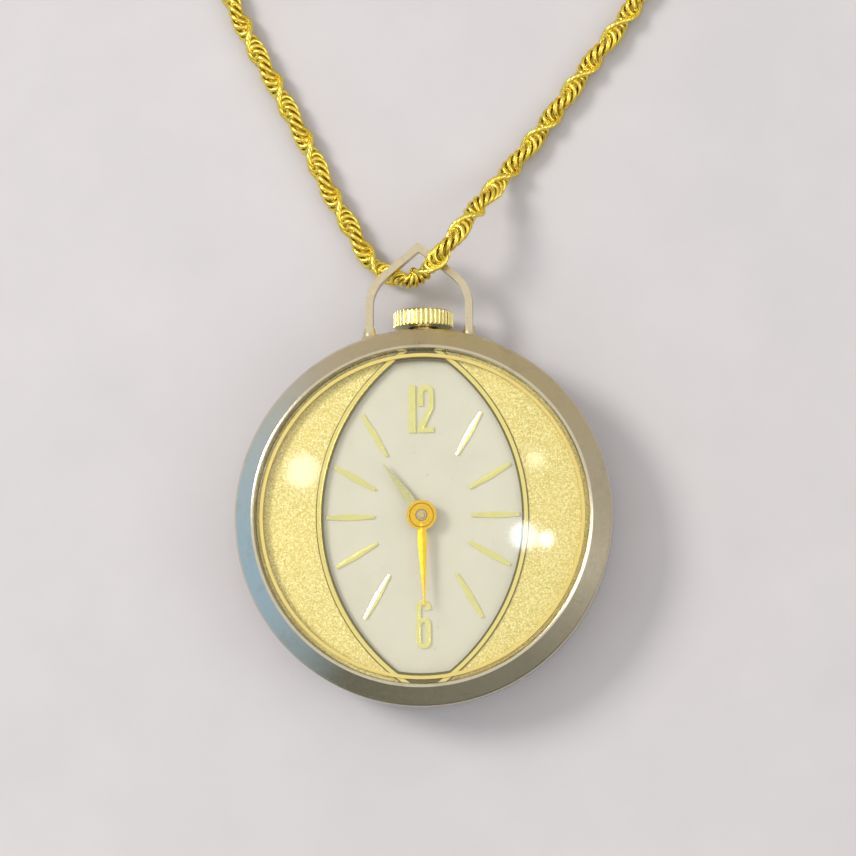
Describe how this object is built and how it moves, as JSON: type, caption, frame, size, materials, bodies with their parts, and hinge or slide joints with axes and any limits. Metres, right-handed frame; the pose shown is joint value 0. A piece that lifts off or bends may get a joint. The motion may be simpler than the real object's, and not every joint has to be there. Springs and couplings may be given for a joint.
{
  "type": "fob watch",
  "caption": "Hand-wound pendant fob watch with a pointed bail, fluted crown and barrel-shaped dial opening, hung on a rope chain with a spring-ring clasp",
  "frame": {"origin": "Centre of the flat face in the middle of the case back, which the watch lies on, on the case's axis", "axes": "+Z out through the dial and crystal, +Y towards 12 o'clock, the crown and the bail, +X towards 3 o'clock"},
  "size_m": [0.0424, 0.1012, 0.0093],
  "materials": {
    "case_metal": "satin champagne-coloured plating",
    "bezel_metal": "satin, polished at its edges, worn",
    "back_steel": "brushed steel with fine scratches",
    "seal_rubber": "black rubber",
    "acrylic": "clear domed acrylic with fine scratches",
    "polished_gold": "polished gold plating",
    "mask_gold": "grained yellow gold plating with a polished lip",
    "bail_metal": "polished champagne-coloured plating",
    "movement_brass": "plain brass",
    "movement_steel": "plain steel",
    "dial_silver": "silvered matte dial",
    "marker_gold": "pale gold, faceted",
    "hour_hand_gold": "pale gold, faceted",
    "minute_hand_gold": "bright yellow gold, polished",
    "crown_gold": "yellow gold plating, fluted",
    "blued_steel": "blued steel",
    "ruby": "synthetic ruby",
    "chain_gold": "bright yellow gold rope chain"
  },
  "bodies": {
    "watch": {"case_middle": "case_metal", "bezel": "bezel_metal", "case_back": "back_steel", "case_back_gasket": "seal_rubber", "crystal": "acrylic", "tension_ring": "polished_gold", "dial_mask": "mask_gold", "bail": "bail_metal", "case_tube": "movement_brass", "movement_ring": "movement_steel", "dial": "dial_silver", "hour_markers": "marker_gold", "numeral_twelve": "marker_gold", "numeral_six": "marker_gold", "yoke_spring": "movement_steel", "setting_lever_spring": "movement_steel", "click_spring": "movement_steel", "hairspring": "blued_steel", "mainplate": "movement_brass", "barrel_bridge": "movement_steel", "train_bridge": "movement_steel", "pallet_bridge": "movement_steel", "balance_cock": "movement_steel", "bridge_screws": "blued_steel", "bearing_jewels": "ruby", "chain_left": "chain_gold", "chain_right": "chain_gold", "chain_coil": "chain_gold", "chain_end_caps": "chain_gold", "jump_ring": "chain_gold", "clasp_ring": "chain_gold"},
    "centre_train": {"centre_wheel": "movement_brass"},
    "minute": {"minute_hand": "minute_hand_gold", "cannon_pinion": "movement_steel"},
    "hour": {"hour_hand": "hour_hand_gold", "hour_wheel": "movement_brass"},
    "minute_gear": {"minute_wheel": "movement_brass"},
    "setting_gear": {"setting_wheel": "movement_steel"},
    "barrel": {"barrel_drum": "movement_brass", "barrel_cover": "movement_brass", "mainspring": "movement_steel"},
    "third": {"third_wheel": "movement_brass"},
    "fourth": {"fourth_wheel": "movement_brass"},
    "escape": {"escape_wheel": "movement_steel"},
    "fork": {"pallet_fork": "movement_steel"},
    "balance": {"balance_wheel": "movement_brass"},
    "index": {"regulator": "movement_steel"},
    "winder": {"winding_pinion": "movement_steel"},
    "stem": {"crown": "crown_gold", "winding_stem": "movement_steel", "crown_gasket": "seal_rubber"},
    "clutch": {"sliding_pinion": "movement_steel"},
    "lever": {"setting_lever": "movement_steel"},
    "yoke_arm": {"yoke": "movement_steel"},
    "crown_gear": {"crown_wheel": "movement_steel"},
    "ratchet": {"ratchet_wheel": "movement_steel", "ratchet_screw": "movement_steel", "barrel_arbor": "movement_steel"},
    "pawl": {"click": "movement_steel"},
    "gate": {"clasp_trigger": "chain_gold"}
  },
  "joints": [
    {"name": "centre_wheel_turn", "type": "hinge", "parent": "watch", "child": "centre_train", "pos_m": [0, 0, 0.0022], "axis": [0, 0, 1], "continuous": true},
    {"name": "minute_hand_turn", "type": "hinge", "parent": "watch", "child": "minute", "pos_m": [0, 0, 0.0068], "axis": [0, 0, 1], "continuous": true},
    {"name": "hour_hand_turn", "type": "hinge", "parent": "watch", "child": "hour", "pos_m": [0, 0, 0.0064], "axis": [0, 0, 1], "continuous": true},
    {"name": "minute_wheel_turn", "type": "hinge", "parent": "watch", "child": "minute_gear", "pos_m": [0, 0.0024, 0.005], "axis": [0, 0, 1], "continuous": true},
    {"name": "setting_wheel_turn", "type": "hinge", "parent": "watch", "child": "setting_gear", "pos_m": [0, 0.0054, 0.0045], "axis": [0, 0, 1], "continuous": true},
    {"name": "barrel_turn", "type": "hinge", "parent": "watch", "child": "barrel", "pos_m": [-0.00499, 0.00288, 0.003], "axis": [0, 0, 1], "continuous": true, "deforming": ["mainspring"]},
    {"name": "third_wheel_turn", "type": "hinge", "parent": "watch", "child": "third", "pos_m": [0.00381, 0.00139, 0.003], "axis": [0, 0, 1], "continuous": true},
    {"name": "fourth_wheel_turn", "type": "hinge", "parent": "watch", "child": "fourth", "pos_m": [0.0074, 0.00107, 0.0026], "axis": [0, 0, 1], "continuous": true},
    {"name": "escape_wheel_turn", "type": "hinge", "parent": "watch", "child": "escape", "pos_m": [0.00791, -0.00177, 0.0028], "axis": [0, 0, 1], "continuous": true},
    {"name": "pallet_fork_rock", "type": "hinge", "parent": "watch", "child": "fork", "pos_m": [0.00599, -0.00338, 0.0028], "axis": [0, 0, 1], "range_deg": [-5, 5]},
    {"name": "balance_swing", "type": "hinge", "parent": "watch", "child": "balance", "pos_m": [0.00385, -0.00518, 0.0016], "axis": [0, 0, 1], "range_deg": [-270, 270], "stiffness_Nm_per_rad": 0.0000002, "deforming": ["hairspring"]},
    {"name": "regulator_turn", "type": "hinge", "parent": "watch", "child": "index", "pos_m": [0.00385, -0.00518, 0.00066], "axis": [0, 0, 1], "range_deg": [-20, 20]},
    {"name": "crown_turn", "type": "hinge", "parent": "watch", "child": "winder", "pos_m": [0, 0.0088, 0.0032], "axis": [0, 1, 0], "continuous": true},
    {"name": "crown_pull", "type": "slide", "parent": "winder", "child": "stem", "axis": [0, 1, 0], "range_m": [0, 0.0008]},
    {"name": "sliding_pinion_slide", "type": "slide", "parent": "winder", "child": "clutch", "axis": [0, 1, 0], "range_m": [-0.00064, 0]},
    {"name": "setting_lever_turn", "type": "hinge", "parent": "watch", "child": "lever", "pos_m": [0.0028, 0.0103, 0.0049], "axis": [0, 0, 1], "range_deg": [-16.26, 0]},
    {"name": "yoke_turn", "type": "hinge", "parent": "watch", "child": "yoke_arm", "pos_m": [-0.0034, 0.00753, 0.0049], "axis": [0, 0, 1], "range_deg": [-10.75, 0]},
    {"name": "crown_wheel_turn", "type": "hinge", "parent": "watch", "child": "crown_gear", "pos_m": [0, 0.0072, 0.001], "axis": [0, 0, 1], "continuous": true},
    {"name": "ratchet_wheel_turn", "type": "hinge", "parent": "watch", "child": "ratchet", "pos_m": [-0.00499, 0.00288, 0.001], "axis": [0, 0, 1], "continuous": true},
    {"name": "click_rock", "type": "hinge", "parent": "watch", "child": "pawl", "pos_m": [-0.01021, -0.00064, 0.001], "axis": [0, 0, 1], "range_deg": [-12, 0], "stiffness_Nm_per_rad": 0.000002, "springref_deg": 5.73},
    {"name": "clasp_gate_slide", "type": "hinge", "parent": "watch", "child": "gate", "pos_m": [0.00097, 0.07252, 0.0012], "axis": [0, 0, 1], "range_deg": [-36, 0], "stiffness_Nm_per_rad": 0.00002, "springref_deg": 17.19}
  ],
  "couplings": [
    {"joint": "minute_hand_turn", "follows": "centre_wheel_turn", "ratio": 1},
    {"joint": "hour_hand_turn", "follows": "centre_wheel_turn", "ratio": 0.083333},
    {"joint": "minute_wheel_turn", "follows": "centre_wheel_turn", "ratio": -0.33333},
    {"joint": "setting_wheel_turn", "follows": "centre_wheel_turn", "ratio": 0.5},
    {"joint": "barrel_turn", "follows": "centre_wheel_turn", "ratio": -0.14286},
    {"joint": "third_wheel_turn", "follows": "centre_wheel_turn", "ratio": -8},
    {"joint": "fourth_wheel_turn", "follows": "centre_wheel_turn", "ratio": 60},
    {"joint": "escape_wheel_turn", "follows": "centre_wheel_turn", "ratio": -600},
    {"joint": "sliding_pinion_slide", "follows": "crown_pull", "ratio": -0.8},
    {"joint": "setting_lever_turn", "follows": "crown_pull", "rad_per_m": -354.74},
    {"joint": "yoke_turn", "follows": "crown_pull", "rad_per_m": -234.6},
    {"joint": "crown_wheel_turn", "follows": "crown_turn", "ratio": 0.89286},
    {"joint": "ratchet_wheel_turn", "follows": "crown_turn", "ratio": -0.41667}
  ]
}
